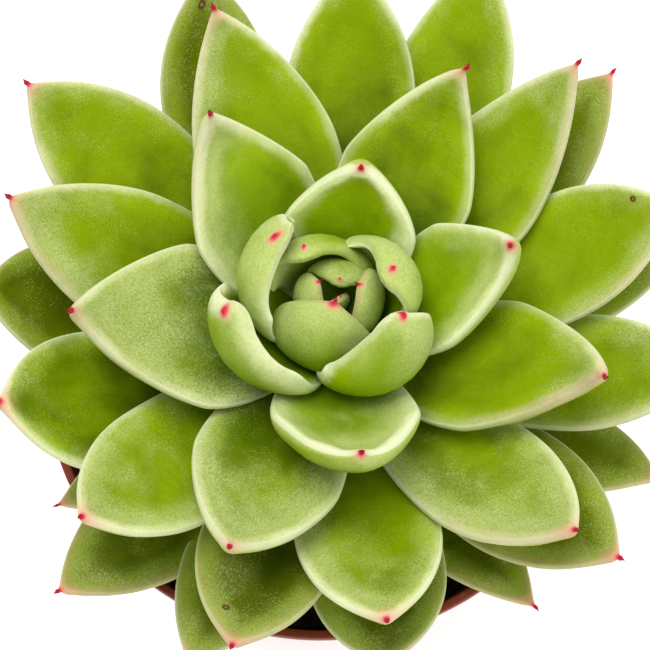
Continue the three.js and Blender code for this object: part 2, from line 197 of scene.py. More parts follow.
# They have a thin, lens-shaped margin and a round end.
HOOD_ROUNDNESS = 1.15
HOOD_UPPER_SHARE = 0.15
HOOD_BLUNTNESS = 0.5
HOOD_END = 0.1
HOOD_WIDTH_SHARE = 0.02
HOOD_ROUND_SHARE = 0.3
HOOD_SPINE_HEIGHT = 0.8
HOOD_SPINE_RADIUS = 0.55
HOOD_SPINE_POWER = 1.5

# ---- Marks of each leaf, which its material reads ----

# A distance at which a mark no longer shows
FAR_OFF = 99

# How much further from the tip a hooded leaf's skin counts as being
HOOD_TIP_EXTRA = 3

# Stretch of the leaf, as shares of its length, in which its margins turn brown
RUST_START = 0.35
RUST_FULL = 0.85

# How far down from the tip a margin gets back to its usual width, and the sines of the section's
# angle between which it goes from the outer to the inner width, and the outer face's bloom starts
RIM_TIP_REACH = 14
RIM_SIDES = (-0.3, 0.3)
OUTER_SIDES = (-0.1, -0.5)

# Leaves lie apart in the skin's own space, so that no two have the same marks
SKIN_GAP = 90

# From which leaf on the leaves are mature, and old
FIRST_MATURE = 14
FIRST_OLD = 30

# How dense the bloom is on a leaf, and how much denser towards its left margin and on its outer
# face.
USUAL_BLOOM = (0.15, 0, 0.1)
BLOOM = {
    0: (0.1, 0, 0.1), 1: (0.1, 0, 0.1), 2: (0.4, 0, 0.1), 3: (0.35, 0, 0.1), 4: (0.35, 0.5, 0.1),
    5: (0.45, -0.4, 0.1), 6: (0.6, 0.5, 0.1), 7: (0.5, 0, 0.1), 8: (0.35, 0.8, 0.1),
    9: (-0.2, 0, 0.1), 10: (0.1, 0, 0.1), 11: (0.4, -0.2, 0), 12: (0.4, 0.6, 0),
    13: (0.65, 0.2, -0.7), 14: (-0.1, 0.1, 0), 15: (0.9, 0, 0), 16: (0.05, 0, 0),
    17: (0.15, 0.4, 0), 18: (0.65, 0, 0), 19: (0.05, 0, 0), 20: (0.4, 0.4, 0),
    21: (0.6, -0.2, 0), 22: (-0.2, 0, 0), 23: (0.4, 0.1, 0), 24: (0, -0.1, 0),
    25: (0.05, 0, 0), 26: (0.35, -0.3, 0), 27: (0, 0, 0), 28: (-0.1, 0, 0), 30: (0.1, 0, 0),
    31: (0.3, 0, 0), 33: (0, 0, 0), 36: (0.25, 0, 0), 44: (0.1, 0, 0),
}

# How light a leaf is among its like: partly its own tone, partly painted light and shade for where
# it lies.
USUAL_TONE = 0.5
TONES_AND_SHADING = {
    0: 0.3, 1: 0.2, 3: 0.45, 4: 0.7, 5: 0.95, 6: 0.7, 7: 0.6, 14: 0.35, 15: 0.3, 18: 0.3, 22: 0.4,
    24: 0.6, 28: 0.05, 30: 0.2, 31: 0.1, 32: 1, 33: 0.1, 34: 0.4, 36: 0.1, 37: 0.7, 39: 0.3,
    44: 0.3, 47: 0.3,
}

# How wide the cream margin is on the inner and on the outer face, against a leaf's number, and
# the leaves where it is another width, with the share of that width that is left at the tip. The
# cream is partly the leaf's own pale margin and partly a painted highlight on its rounded rim.
INNER_RIM = [(0, 2.5), (9, 3.4), (14, 2.5), (30, 1.8), (47, 1.5)]
OUTER_RIM = [(0, 1), (9, 1.2), (14, 0.7), (47, 0.6)]
RIMS = {
    1: (0.6, 0.6, 1), 2: (0.6, 0.6, 1), 3: (0.6, 0.6, 1), 4: (0.6, 1, 1), 5: (1, 1, 1),
    6: (0.6, 1.6, 1), 7: (0.6, 3.2, 1), 8: (2, 2.6, 1), 9: (5.6, 1.5, 0.4), 10: (2.5, 6.5, 1),
    12: (3.2, 1, 1), 13: (4.6, 0.3, 0.35),
}

# Leaves whose margins have little or no cream: 1 is none.
PLAIN_MARGINS = {0: 0.8, 1: 0.9, 2: 0.8, 3: 0.8, 4: 0.7, 5: 0.4, 6: 0.4, 7: 0.1, 11: 0.25}

# How brown the margins of some leaves are: the left one, the right one.
RUST = {
    12: (0.4, 0.1), 15: (0.25, 0), 16: (0, 0.8), 17: (0.35, 0), 19: (0.1, 0.5), 20: (0.6, 0.1),
    21: (0, 0.5), 24: (0, 0.4), 25: (0.35, 0.1), 29: (0, 0.3), 31: (0.3, 0.3), 32: (0.1, 0.3),
    34: (0.1, 0.5), 36: (0.5, 0.5), 42: (0.3, 0.3), 47: (0.4, 0.4),
}

# How large the red spots are that differ from the usual ones.
SPOTS = {
    0: 0.25, 1: 0.3, 2: 0.45, 3: 0.45, 4: 0.45, 6: 0.6, 7: 0.8, 8: 0.9, 10: 0.95, 11: 1.9, 13: 0.8,
}

# Small healed scars on the inner face: how far along the leaf, how far to the left, the radius.
SCARS = {24: (64.3, 4.5, 0.65), 30: (73.5, 0, 0.9), 31: (62.3, -3.7, 0.75)}
NO_SCAR = (FAR_OFF, FAR_OFF, 1)

# ---- Pot: the same sizes as the CAD solid ----

POT_HEIGHT = 92
RIM_RADIUS = 60
RIM_DEPTH = 2.5
RIM_STEP = 0.5
FOOT_RADIUS = 40
WALL = 1.4
WALL_SLOPE = 12
FLOOR_TOP = 4
CHANNEL_INNER = 16
CHANNEL_OUTER = 36
CHANNEL_RISE = 2
EDGE_ROUND = 0.5
DRAIN_COUNT = 8
DRAIN_RADIUS = 4

# Finer facets than the solid has
POT_SIDES = 160
POT_RING_GAP = 7
DRAIN_SIDES = 40
SHARP_ANGLE = 35

# ---- Soil ----

CLEARANCE = 0.3
SOIL_TOP = 82
SOIL_RELIEF = 0.9
SWELL_X = 4.1
SWELL_Y = 5.3
SWELL_DIAGONAL = 7.7

# Its finer surface lies a little below the solid's, with seeded lumps, and dips at the stem
SOIL_SIDES = 144
SOIL_RINGS = 44
SOIL_WALL_RINGS = 12
SOIL_EDGE_GAP = 0.4
SOIL_DROP = 0.3
RELIEF_SHARE = 0.8
LUMP_HEIGHT = 0.18
STEM_DIP = 0.6
STEM_DIP_RADIUS = 10

# Crumbs, chips of bark and perlite that lie on it; a share of its area in the middle stays bare
CRUMB, BARK, PERLITE = 0, 1, 2
CRUMB_COUNT = 900
PERLITE_COUNT = 60
CRUMB_SIZES = (0.5, 1.7)
PERLITE_SIZES = (0.6, 1.3)
BARK_PROPORTION = 0.3
BARK_SHAPE = (1.7, 0.8, 0.5)
CRUMB_BREADTHS = (0.5, 1)
CRUMB_HEIGHTS = (0.35, 0.8)
CRUMB_ROUGHNESS = 0.1
CRUMB_RISE = 0.25
CRUMB_EDGE_GAP = 2.5
CRUMB_BARE_MIDDLE = 0.03

# ---- Stem: old leaf scars make its bark uneven ----

STEM_SIDES = 72
STEM_RING_GAP = 1.1
BARK_DEPTH = 0.3
BARK_LOBES = 5
BARK_TWIST = 1.9
SCAR_LOBES = 3
SCAR_SPACING = 2.6
BARK_RADIUS = 9

# ---- Studio, and the camera where the photograph was taken from ----

CAMERA_ELEVATION = 68
CAMERA_DISTANCE = 400
CAMERA_TARGET = (1.03, 9.95, 92)
SENSOR = 36
LENS = 100.1
CLIP = (10, 20000)
FLOOR_HALF = 3000
FLOOR_DROP = 0.05
FLOOR_GLOW = 0.5
SKY_STRENGTH = 0.62
LIGHT_TARGET = (0, 0, 120)


def along(pairs, x):
    """The value at x on a line through (x, value) pairs."""
    return float(np.interp(x, [p[0] for p in pairs], [p[1] for p in pairs]))


def smooth_step(low, high, x):
    """0 below low, 1 above high, and a smooth rise between."""
    t = np.clip((x - low) / (high - low), 0, 1)
    return t * t * (3 - 2 * t)


# ---- Mesh building ----


def mesh_object(name, points, faces, attributes=None):
    """A smooth mesh object from points in millimetres, with named float or vector attributes."""
    mesh = bpy.data.meshes.new(name)
    mesh.from_pydata((np.asarray(points, float) * MM).tolist(), [], faces)
    mesh.validate()
    mesh.shade_smooth()
    for key, values in (attributes or {}).items():
        values = np.asarray(values, np.float32)
        if values.ndim == 2:
            layer = mesh.attributes.new(key, "FLOAT_VECTOR", "POINT")
            layer.data.foreach_set("vector", values.ravel())
        else:
            layer = mesh.attributes.new(key, "FLOAT", "POINT")
            layer.data.foreach_set("value", values)
    made = bpy.data.objects.new(name, mesh)
    bpy.context.scene.collection.objects.link(made)
    return made


def tube_faces(rows, sides):
    """Faces of a closed tube of rings, with a pole point before the first and after the last."""
    first, last = rows * sides, rows * sides + 1
    faces = []
    for i in range(rows - 1):
        for j in range(sides):
            k = (j + 1) % sides
            faces.append((i * sides + j, i * sides + k, (i + 1) * sides + k, (i + 1) * sides + j))
    end = (rows - 1) * sides
    for j in range(sides):
        k = (j + 1) % sides
        faces.append((first, k, j))
        faces.append((last, end + j, end + k))
    return faces


def dress(piece, material, slot, *nodes):
    """Gives a piece its material and body, and lets it stand for CAD nodes."""
    piece.data.materials.clear()
    piece.data.materials.append(material)
    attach(piece, "root")
    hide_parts(*nodes)


# ---- Leaf shape ----


def leaf_plan(number):
    """What shapes a leaf: its own row, and elsewhere what changes steadily with its number."""
    azimuth, reach, sweep, width, own = LEAVES[number]
    plan = dict(rootPull=ROOT_PULL, tipPull=TIP_PULL, hook=0, taper=0, ease=0)
    plan.update({quantity: along(pairs, number) for quantity, pairs in GROWTH.items()})
    plan.update(azimuth=azimuth, reach=reach, sweep=sweep, width=width, **own)
    plan["hooded"] = number in HOODED
    if plan["hooded"]:
        plan.update(pinch=0, tipWidth=HOOD_WIDTH_SHARE, endRound=HOOD_ROUND_SHARE,
                    tipRoundness=HOOD_ROUNDNESS, upperShare=HOOD_UPPER_SHARE, endLength=HOOD_END)
        plan["bluntness"] *= HOOD_BLUNTNESS
    else:
        plan.update(pinch=PINCH, tipWidth=SPINE_WIDTH_SHARE, endRound=0,
                    tipRoundness=TIP_ROUNDNESS, upperShare=UPPER_SHARE, endLength=SPINE_LENGTH)
    height = CROWN_HEIGHT - LEAF_STEP * number
    radius = max(along(STEM_PROFILE, height) - ROOT_SINK, ROOT_MIN_RADIUS)
    plan["root"] = np.array([radius, height])
    return plan


def leaf_arch(plan, shares):
    """Points and directions of the middle line at shares of its length, and the length.

    It is one Bezier arch in the upright plane of the leaf: out from the stem, and up."""
    root, tip = plan["root"], np.array([plan["reach"], plan["tipHeight"]])
    chord = np.linalg.norm(tip - root)

    def pulled(angle, share):
        turn = math.radians(angle)
        return share * chord * np.array([math.cos(turn), math.sin(turn)])

    after = root + pulled(plan["rootAngle"], plan["rootPull"])
    before = tip - pulled(plan["tipAngle"], plan["tipPull"])
    t = np.linspace(0, 1, ARCH_STEPS)[:, None]
    line = ((1 - t) ** 3 * root + 3 * (1 - t) ** 2 * t * after
            + 3 * (1 - t) * t ** 2 * before + t ** 3 * tip)
    slope = ((1 - t) ** 2 * (after - root) + 2 * (1 - t) * t * (before - after)
             + t ** 2 * (tip - before))
    slope /= np.linalg.norm(slope, axis=1)[:, None]
    run = np.r_[0, np.cumsum(np.linalg.norm(np.diff(line, axis=0), axis=1))]

    def pick(values):
        return np.stack([np.interp(shares * run[-1], run, values[:, i]) for i in (0, 1)], 1)

    return pick(line), pick(slope), run[-1]


def width_share(plan, s):
    """Width at shares of the length, as a share of the greatest width."""
    widest = plan["widest"]
    rise = np.sin(np.pi / 2 * np.clip(s / widest, 0, 1)) ** ROOT_SHOULDER
    to_tip = np.clip((s - widest) / (1 - widest), 0, 1)
    narrowing = 1 - to_tip ** plan["fullness"]
    narrowing *= 1 - plan["taper"] * to_tip ** TAPER_POWER
    narrowing *= 1 - plan["pinch"] * to_tip ** PINCH_POWER
    if plan["endRound"]:
        narrowing = narrowing / np.sqrt(np.clip(narrowing / plan["endRound"], NEARLY_ZERO, 1))
    narrowing = np.maximum(narrowing, plan["tipWidth"])
    return np.where(s < widest, ROOT_WIDTH_SHARE + (1 - ROOT_WIDTH_SHARE) * rise, narrowing)


def thickness_share(plan, s):
    """Thickness at shares of the length, as a share of the greatest thickness."""
    tip = TIP_THICKNESS_SHARE + plan["bluntness"] * (BLUNT_THICKNESS_SHARE - TIP_THICKNESS_SHARE)
    near = 1 - ROOT_THINNING * (1 - np.minimum(s / THICKEST, 1)) ** 2
    toward = np.maximum(s - THICKEST, 0) / (1 - THICKEST)
    return np.where(s < THICKEST, near, 1 - (1 - tip) * toward ** TIP_THINNING_POWER)


def blade_grid(plan):
    """The blade's grid: a row for each station, a column for each point round its section.

    Cos is 1 at the left margin and -1 at the right one, and sin is above 0 on the inner face.
    Across, edge and tip are the distances from the middle line, the margin and the tip."""
    steps = np.arange(LEAF_STATIONS) / (LEAF_STATIONS - 1)
    s = 1 - (1 - steps) ** TIP_CROWDING
    middle, forward, length = leaf_arch(plan, s)
    q = np.arange(LEAF_SIDES) / LEAF_SIDES
    angle = 2 * np.pi * q - EDGE_CROWDING / 2 * np.sin(4 * np.pi * q)
    cos, sin = np.cos(angle)[None, :], np.sin(angle)[None, :]
    s = s[:, None]
    half = plan["width"] / 2 * width_share(plan, s)
    return SimpleNamespace(
        s=s, middle=middle, forward=forward, length=length, cos=cos, sin=sin, half=half,
        across=half * cos, edge=half * (1 - np.abs(cos)), tip=(1 - s) * length)


def section_bulge(plan, blade):
    """How far the section's points stand over the leaf's middle surface."""
    thick = np.minimum(plan["thickness"] * thickness_share(plan, blade.s),
                       MOST_THICKNESS_TO_HALF_WIDTH * blade.half)
    roundness = ROOT_ROUNDNESS + (plan["tipRoundness"] - ROOT_ROUNDNESS) * blade.s
    above = plan["upperShare"] * thick * np.abs(blade.sin) ** roundness
    below = (1 - UPPER_SHARE) * thick * np.abs(blade.sin) ** (roundness + KEEL_ROUNDNESS)
    return np.where(blade.sin > 0, above, -below)


def waves(random, u, v):
    """A gentle, seeded unevenness over two lengths in millimetres, mostly within -1 to 1."""
    total = np.zeros(np.broadcast(u, v).shape)
    for _ in range(WAVE_COUNT):
        turn, phase = random.uniform(0, 2 * np.pi, 2)
        length = WAVE_LENGTH * random.uniform(*WAVE_LENGTH_SPREAD)
        total += np.sin(2 * np.pi * (u * np.cos(turn) + v * np.sin(turn)) / length + phase)
    return total / WAVE_COUNT ** 0.5


def fine_relief(number, blade):
    """The bead along the margin and the dish of the inner face, and the waves of both faces."""
    random = np.random.default_rng(SEED + number)
    room = smooth_step(*BEAD_HALF_WIDTHS, blade.half) * smooth_step(0, BEAD_START, blade.s)
    bead = BEAD_HEIGHT * np.exp(-((blade.edge - BEAD_INSET) / BEAD_REACH) ** 2)
    dish_end = DISH_REACH_SHARE * blade.half + BEAD_INSET
    dish = DISH_DEPTH * smooth_step(BEAD_INSET, dish_end, blade.edge)
    wave = WAVE_HEIGHT * waves(random, blade.s * blade.length, blade.across)
    wave = wave * smooth_step(0, WAVE_EDGE_GAP, blade.edge)
    wave = wave * smooth_step(0, WAVE_TIP_GAP, blade.tip)
    wave = wave * smooth_step(*WAVE_HALF_WIDTHS, blade.half)
    return np.where(blade.sin > 0, room * (bead - dish), 0) + wave


def hood_spine_distance(number, blade):
    """Distance from the spine on the outer face of a hooded leaf."""
    share, aside = HOODED[number]
    distance = np.hypot((blade.s - share) * blade.length, blade.across - aside)
    return np.where(blade.sin < 0, distance, FAR_OFF)


def bent_rows(plan, blade, bulge):
    """The grid's points, bent round the leaf's curl: out from the stem, left and up."""
    curl = plan["curl"] * np.minimum(1, ROOT_CURL_SHARE + CURL_GAIN * blade.s)
    curl = curl * (1 - plan["ease"] * blade.s ** EASE_POWER)
    bend = plan["width"] / 2 / curl
    sideways = (bend - bulge) * np.sin(blade.across / bend)
    upward = bend - (bend - bulge) * np.cos(blade.across / bend)
    out = blade.middle[:, :1] - blade.forward[:, 1:] * upward
    up = blade.middle[:, 1:] + blade.forward[:, :1] * upward
    left = plan["sweep"] * blade.s ** 2 + plan["hook"] * blade.s ** HOOK_POWER + sideways
    return np.stack([out, left, up], 2)


def end_shares():
    """Where the rings of a leaf's end lie between its last station and its point."""
    return np.arange(1, SPINE_STATIONS)[:, None] / SPINE_STATIONS


def end_rings(plan, blade, last):
    """Rings from the last row on, for a slim spine or a hooded leaf's round end, and its point."""
    v = end_shares()[:, :, None]
    shrink = np.sqrt(1 - v ** 2) if plan["hooded"] else (1 - v) ** SPINE_SLIMNESS
    centre = last.mean(0)
    ahead = np.array([blade.forward[-1, 0], 0, blade.forward[-1, 1]])
    if not plan["hooded"]:
        ahead[0] += SPINE_LEAN * smooth_step(LEAN_FROM, 1, blade.forward[-1, 1])
        ahead /= np.linalg.norm(ahead)
    ahead *= plan["endLength"]
    return centre + ahead * v + (last - centre) * shrink, centre + ahead


def turned_to(azimuth, points):
    """Points of a leaf that grows along +X, turned to its azimuth round the stem."""
    cos, sin = math.cos(math.radians(azimuth)), math.sin(math.radians(azimuth))
    x, y, z = points.T
    return np.stack([x * cos - y * sin + STEM_X, x * sin + y * cos, z], 1)


def leaf_marks(number, plan, blade, bulge, spot):
    """What the leaf's material reads at each of its points. Distances are millimetres.

    Edge, tip and spot are the distances from the margin, the tip and the red end. Rim is 1 where
    the cream margin ends. Skin is a place on the leaf laid flat. Face is above 0 on the inner
    face. Scar is a place in radii of the leaf's scar."""
    v = end_shares()
    length, end_length = blade.length, plan["endLength"]

    def over(values, end, poles):
        """Values on the grid, then on the rings of the end, then at the root's and end's poles."""
        grid = np.broadcast_to(values, blade.across.shape)
        rings = np.broadcast_to(end, (SPINE_STATIONS - 1, LEAF_SIDES))
        return np.concatenate([grid.ravel(), rings.ravel(), poles])

    amount, aside, outside = BLOOM.get(number, USUAL_BLOOM)
    outer_face = smooth_step(*OUTER_SIDES, blade.sin)
    bloom = np.broadcast_to(amount + aside * blade.cos + outside * outer_face, blade.across.shape)

    usual = (along(INNER_RIM, number), along(OUTER_RIM, number), 1)
    inner_rim, outer_rim, at_tip = RIMS.get(number, usual)
    rim = outer_rim + (inner_rim - outer_rim) * smooth_step(*RIM_SIDES, blade.sin)
    rim = rim * (at_tip + (1 - at_tip) * smooth_step(0, RIM_TIP_REACH, blade.tip))

    rust = np.where(blade.cos > 0, *RUST.get(number, (0, 0)))
    rust = rust * smooth_step(RUST_START, RUST_FULL, blade.s)

    tone = TONES_AND_SHADING.get(number, USUAL_TONE)
    tip_extra = HOOD_TIP_EXTRA if plan["hooded"] else 0
    spine_spot = FAR_OFF if plan["hooded"] else -SPINE_LENGTH
    ring_spot = spine_spot if plan["hooded"] else spine_spot * v
    scar_along, scar_aside, scar_radius = SCARS.get(number, NO_SCAR)
    off = [FAR_OFF, FAR_OFF]
    root_half = blade.half[0, 0]
    return {
        "edge": over(blade.edge, 0, [root_half, 0]),
        "face": over(blade.sin, blade.sin, [0, 0]),
        "tip": over(blade.tip, -end_length * v, [length, -end_length]) + tip_extra,
        "spot": over(spot, ring_spot, [length, spine_spot]) / SPOTS.get(number, 1),
        "share": over(blade.s, 1, [0, 1]),
        "tone": over(tone, tone, [tone, tone]),
        "rim": over(blade.edge / rim, 0, [root_half, 0]) + PLAIN_MARGINS.get(number, 0),
        "bloom": over(bloom, bloom[-1], [bloom[0, 0], bloom[-1, 0]]),
        "rust": over(rust, rust[-1], [0, 0]),
        "scar": np.stack([
            over(blade.s * length - scar_along, FAR_OFF, off),
            over(blade.across - scar_aside, FAR_OFF, off),
            over(np.where(blade.sin > 0, 0, FAR_OFF), FAR_OFF, off),
        ], 1) / scar_radius,
        "skin": np.stack([
            over(blade.s * length, length + end_length * v, [0, length]),
            over(blade.across, 0, [0, 0]),
            over(bulge, 0, [0, 0]) + SKIN_GAP * number,
        ], 1),
    }


def leaf_object(number):
    """One leaf: a closed tube of rings from its root to its spine or its round end."""
    plan = leaf_plan(number)
    blade = blade_grid(plan)
    bulge = section_bulge(plan, blade) + fine_relief(number, blade)
    spot = np.hypot(blade.tip, blade.across)
    if plan["hooded"]:
        spot = hood_spine_distance(number, blade)
        bulge = bulge - HOOD_SPINE_HEIGHT * np.exp(-(spot / HOOD_SPINE_RADIUS) ** HOOD_SPINE_POWER)
    rows = bent_rows(plan, blade, bulge)
    rings, point = end_rings(plan, blade, rows[-1])
    rows = np.concatenate([rows, rings])
    local = np.concatenate([rows.reshape(-1, 3), [rows[0].mean(0), point]])
    return mesh_object(f"Leaf_{number:02d}", turned_to(plan["azimuth"], local),
                       tube_faces(len(rows), LEAF_SIDES),
                       leaf_marks(number, plan, blade, bulge, spot))


# ---- Node materials ----


class Nodes:
    """A short way to write a node material."""

    def __init__(self, name):
        self.material = bpy.data.materials.new(name)
        self.material.use_nodes = True
        self.tree = self.material.node_tree
        self.shader = self.tree.nodes["Principled BSDF"]

    def put(self, socket, value):
        if hasattr(value, "links"):
            self.tree.links.new(value, socket)
        else:
            socket.default_value = value

    def set(self, **values):
        """Sets the shader's own sockets: Base_Color is the socket Base Color."""
        for key, value in values.items():
            self.put(self.shader.inputs[key.replace("_", " ")], value)

    def attribute(self, name, vector=False):
        node = self.tree.nodes.new("ShaderNodeAttribute")
        node.attribute_name = name
        return node.outputs["Vector" if vector else "Fac"]

    def place(self):
        """Object coordinates, which are metres in the CAD frame."""
        return self.tree.nodes.new("ShaderNodeTexCoord").outputs["Object"]

    def math(self, operation, a, b=0.0):
        node = self.tree.nodes.new("ShaderNodeMath")
        node.operation = operation
        self.put(node.inputs[0], a)
        self.put(node.inputs[1], b)
        return node.outputs[0]

    def plus(self, a, b):
        return self.math("ADD", a, b)

    def times(self, a, b):
        return self.math("MULTIPLY", a, b)

    def ramp(self, value, low, high, to_low=0.0, to_high=1.0):
        """A smooth step from to_low at value low to to_high at value high."""
        node = self.tree.nodes.new("ShaderNodeMapRange")
        node.interpolation_type = "SMOOTHSTEP"
        if low > high:
            low, high, to_low, to_high = high, low, to_high, to_low
        for socket, x in zip(node.inputs, (value, low, high, to_low, to_high)):
            self.put(socket, x)
        return node.outputs[0]

    def noise(self, vector, scale, detail=2.0, roughness=0.5, distortion=0.0):
        node = self.tree.nodes.new("ShaderNodeTexNoise")
        self.put(node.inputs["Vector"], vector)
        self.put(node.inputs["Scale"], scale)
        self.put(node.inputs["Detail"], detail)
        self.put(node.inputs["Roughness"], roughness)
        self.put(node.inputs["Distortion"], distortion)
        return node.outputs["Fac"]

    def speck(self, vector, scale):
        """Distance to the nearest of many scattered points."""
        node = self.tree.nodes.new("ShaderNodeTexVoronoi")
        self.put(node.inputs["Vector"], vector)
        self.put(node.inputs["Scale"], scale)
        return node.outputs["Distance"]

    def length(self, vector):
        node = self.tree.nodes.new("ShaderNodeVectorMath")
        node.operation = "LENGTH"
        self.put(node.inputs[0], vector)
        return node.outputs["Value"]

    def stretch(self, vector, scale):
        node = self.tree.nodes.new("ShaderNodeMapping")
        self.put(node.inputs["Vector"], vector)
        node.inputs["Scale"].default_value = scale
        return node.outputs[0]

    def mix(self, share, a, b):
        """Colour a with a share of colour b over it."""
        node = self.tree.nodes.new("ShaderNodeMix")
        node.data_type = "RGBA"
        for socket, value in zip((node.inputs[0], node.inputs[6], node.inputs[7]), (share, a, b)):
            if isinstance(value, tuple):
                value = (*value, 1)
            self.put(socket, value)
        return node.outputs[2]

    def bump(self, height, distance, strength=1.0, under=None):
        node = self.tree.nodes.new("ShaderNodeBump")
        self.put(node.inputs["Height"], height)
        node.inputs["Distance"].default_value = distance
        node.inputs["Strength"].default_value = strength
        if under is not None:
            self.put(node.inputs["Normal"], under)
        return node.outputs[0]


# ---- Leaf material ----
# Colours are linear, scales are per millimetre of skin, and distances in the ramps are millimetres.

# Painted light: the glow of light shining through a thin blade.
PAINTED_GLOW = (0.34, 0.48, 0.002)
# A painted highlight along the very edge of a margin.
EDGE_HIGHLIGHT = (0.82, 0.86, 0.58)
GRAINS = (0.66, 0.72, 0.36)
RUST_DARK = (0.33, 0.25, 0.07)
RUST_LIGHT = (0.48, 0.37, 0.15)
BLUSH = (0.78, 0.45, 0.3)
HALO = (0.84, 0.31, 0.25)
CRIMSON = (0.6, 0.025, 0.06)
MAROON = (0.12, 0.01, 0.02)
SCAR_DARK = (0.1, 0.035, 0.012)
SCAR_PALE = (0.45, 0.28, 0.14)

PATCH_SCALE = 0.08
STREAK_STRETCH = (0.05, 0.5, 1)
CLOUD_SCALE = 0.11
SPREAD_SCALE = 0.16
WOBBLE_SCALE = 0.22
FADE_SCALE = 0.06
RELIEF_SCALE = 0.4
COARSE_SCALE = 2
FINE_SCALE = 4.2
SPARKLE_SCALE = 2.3

# How each age of leaf looks: deep and bright flesh, frost of the bloom, cream of the margin (partly
# painted highlight) and how plain it is, how far the cream cap and the redness run down from the tip
# in millimetres, and how much the bloom is broken up into grains.
YOUNG = dict(
    name="YoungLeaf", deep=(0.085, 0.16, 0), bright=(0.265, 0.4, 0.001), frost=(0.55, 0.64, 0.22),
    margin=(0.84, 0.87, 0.54), strength=0.9, cap=4, redness=2.5, grain=0.4)
MATURE = dict(
    name="MatureLeaf", deep=(0.085, 0.14, 0), bright=(0.255, 0.37, 0), frost=(0.5, 0.58, 0.2),
    margin=(0.8, 0.82, 0.48), strength=0.78, cap=3, redness=8, grain=0.85)
# The old leaves, lowest on the stem, are much darker all over than the mature ones.
OLD = dict(
    name="OldLeaf", deep=(0.053, 0.08, 0), bright=(0.15, 0.2, 0), frost=(0.34, 0.4, 0.1),
    margin=(0.46, 0.45, 0.2), strength=0.55, cap=2.5, redness=8, grain=1)


def leaf_texture(n):
    """The mesh's marks, and the noises that more than one layer of the leaf uses."""
    keys = ("edge", "face", "tip", "spot", "share", "tone", "bloom", "rust", "rim")
    on = SimpleNamespace(**{key: n.attribute(key) for key in keys})
    on.skin = n.attribute("skin", vector=True)
    on.scar = n.attribute("scar", vector=True)
    on.coarse = n.noise(on.skin, COARSE_SCALE, 2, 0.65)
    on.fine = n.noise(on.skin, FINE_SCALE, 2, 0.6)
    on.stipple = n.plus(n.times(n.ramp(on.coarse, 0.36, 0.66), 0.6),
                        n.times(n.ramp(on.fine, 0.36, 0.66), 0.4))
    on.wobble = n.plus(n.noise(on.skin, WOBBLE_SCALE, 3, 0.6), -0.5)
    on.inset = n.plus(on.edge, n.times(on.wobble, 2.4))
    return on


def leaf_flesh(n, on, look):
    """Flesh in broad soft patches with faint lengthwise streaks, and painted shade towards the root.

    Towards the margin the blade is thinner, and light shining through it is painted as a glow."""
    patches = n.noise(on.skin, PATCH_SCALE, 2, 0.45, 0.3)
    streaks = n.noise(n.stretch(on.skin, STREAK_STRETCH), 1, 2)
    # Painted shade: the flesh darkens towards the root, where the leaf lies under the younger ones.
    flesh = n.plus(n.ramp(on.share, 0.1, 0.75, -0.35, 0.2), n.times(patches, 0.95))
    flesh = n.plus(flesh, n.times(n.plus(streaks, -0.5), 0.15))
    # The tone lightens or darkens the whole flesh; in part it is painted light and shade.
    flesh = n.plus(flesh, n.times(n.plus(on.tone, -0.5), 0.7))
    color = n.mix(n.ramp(flesh, 0.05, 0.8), look["deep"], look["bright"])
    # Painted light: a lighter green near the margins and away from the root, for light shining
    # through.
    painted_glow = n.times(n.ramp(on.edge, 7, 1.5), n.ramp(on.share, 0.2, 0.55, 0.1, 0.75))
    return n.mix(n.times(painted_glow, n.ramp(patches, 0.3, 0.6, 0.5, 1)), color, PAINTED_GLOW)


def leaf_bloom(n, on, look, color):
    """Bloom: a powdery wax, rubbed off in places, denser near margins and on the outer face; near
    the margins it is partly painted sheen, and its thinning towards the root is painted shade.

    Flesh shows between its grains, and some grains sparkle. Gives the colour, then the wax."""
    cloud = n.noise(on.skin, CLOUD_SCALE, 2, 0.45, 0.4)
    level = n.plus(on.bloom, n.times(n.plus(cloud, -0.5), 1.1))
    level = n.plus(level, n.ramp(on.tip, 24, 2, 0, 0.25))
    # Partly painted sheen: the bloom thickens near the margins, where the wax shows whitish at a
    # slant.
    level = n.plus(level, n.ramp(on.edge, 9, 0.5, -0.1, 0.4))
    # Painted shade: the bloom thins towards the root, so the base shows darker.
    level = n.plus(level, n.ramp(on.share, 0.35, 0.75, -0.4, 0.05))
    haze = n.ramp(level, -0.05, 1.05, 0, 0.85)
    grain = look["grain"]
    wax = n.times(haze, n.plus(n.times(n.plus(on.stipple, -0.5), grain), 0.85))
    color = n.mix(n.ramp(wax, 0, 1), color, look["frost"])

    pits = n.times(n.ramp(on.fine, 0.5, 0.3), n.ramp(level, -0.2, 0.6, 0.3 * grain, 0.45 * grain))
    color = n.mix(pits, color, look["deep"])
    spread = n.ramp(n.noise(on.skin, SPREAD_SCALE, 3), 0.38, 0.64)
    sparkle = n.ramp(n.speck(on.skin, SPARKLE_SCALE), 0.34, 0.12)
    grains = n.times(sparkle, n.ramp(level, -0.3, 0.6, 0.15, 0.75))
    return n.mix(n.times(n.times(grains, spread), grain), color, GRAINS), wax


